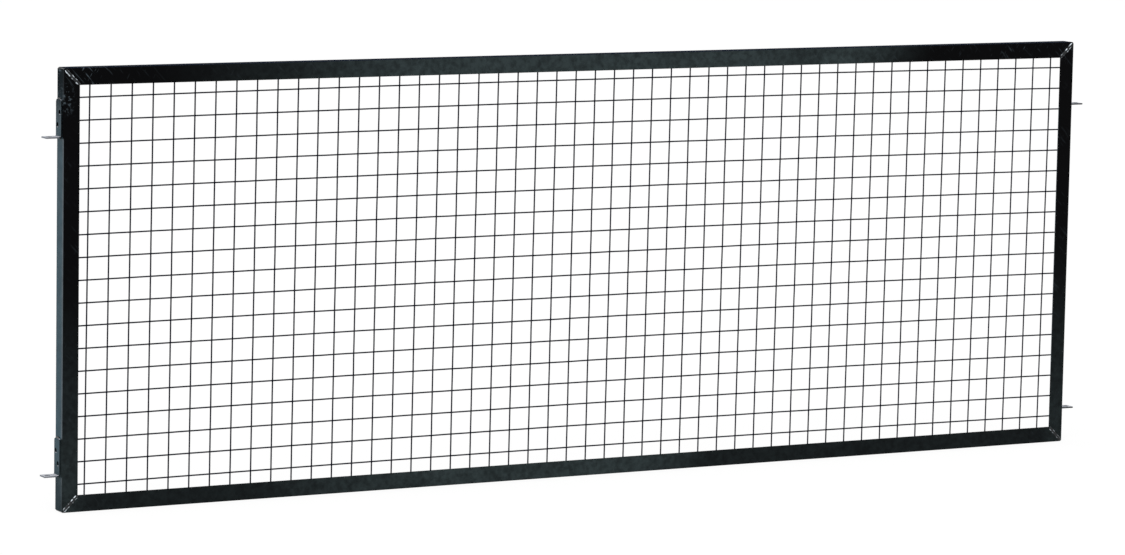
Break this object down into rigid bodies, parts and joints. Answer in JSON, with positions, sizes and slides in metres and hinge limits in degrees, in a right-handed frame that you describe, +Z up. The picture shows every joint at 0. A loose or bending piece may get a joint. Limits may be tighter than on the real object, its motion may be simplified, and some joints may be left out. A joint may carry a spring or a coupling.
{
  "type": "wire mesh partition panel",
  "caption": "Framed welded wire mesh partition panel with a mitred angle-iron frame and bent side brackets with bolt holes.",
  "frame": {"origin": "under the middle of the panel, on the surface it stands on", "axes": "+X along the panel, to the right seen from the front; +Y from the front to the back; +Z up"},
  "size_m": [2.7432, 0.0398, 0.9906],
  "materials": {
    "frame_paint": "semi-gloss black paint over hot-rolled steel angle, lightly scuffed",
    "wire_paint": "satin black paint over drawn steel wire",
    "weld_paint": "glossy black paint over rippled weld beads",
    "bracket_paint": "semi-gloss black paint over flat steel bar"
  },
  "bodies": {
    "root": {"left_stile": "frame_paint", "right_stile": "frame_paint", "top_rail": "frame_paint", "bottom_rail": "frame_paint", "welded_wire_mesh": "wire_paint", "bottom_left_mitre_weld": "weld_paint", "bottom_right_mitre_weld": "weld_paint", "top_left_mitre_weld": "weld_paint", "top_right_mitre_weld": "weld_paint", "bottom_left_edge_weld": "weld_paint", "bottom_right_edge_weld": "weld_paint", "top_left_edge_weld": "weld_paint", "top_right_edge_weld": "weld_paint", "upper_left_bracket": "bracket_paint", "upper_right_bracket": "bracket_paint", "lower_left_bracket": "bracket_paint", "lower_right_bracket": "bracket_paint", "upper_left_bracket_top_weld": "weld_paint", "upper_right_bracket_top_weld": "weld_paint", "lower_left_bracket_top_weld": "weld_paint", "lower_right_bracket_top_weld": "weld_paint", "upper_left_bracket_foot_weld": "weld_paint", "upper_right_bracket_foot_weld": "weld_paint", "lower_left_bracket_foot_weld": "weld_paint", "lower_right_bracket_foot_weld": "weld_paint"}
  },
  "joints": []
}
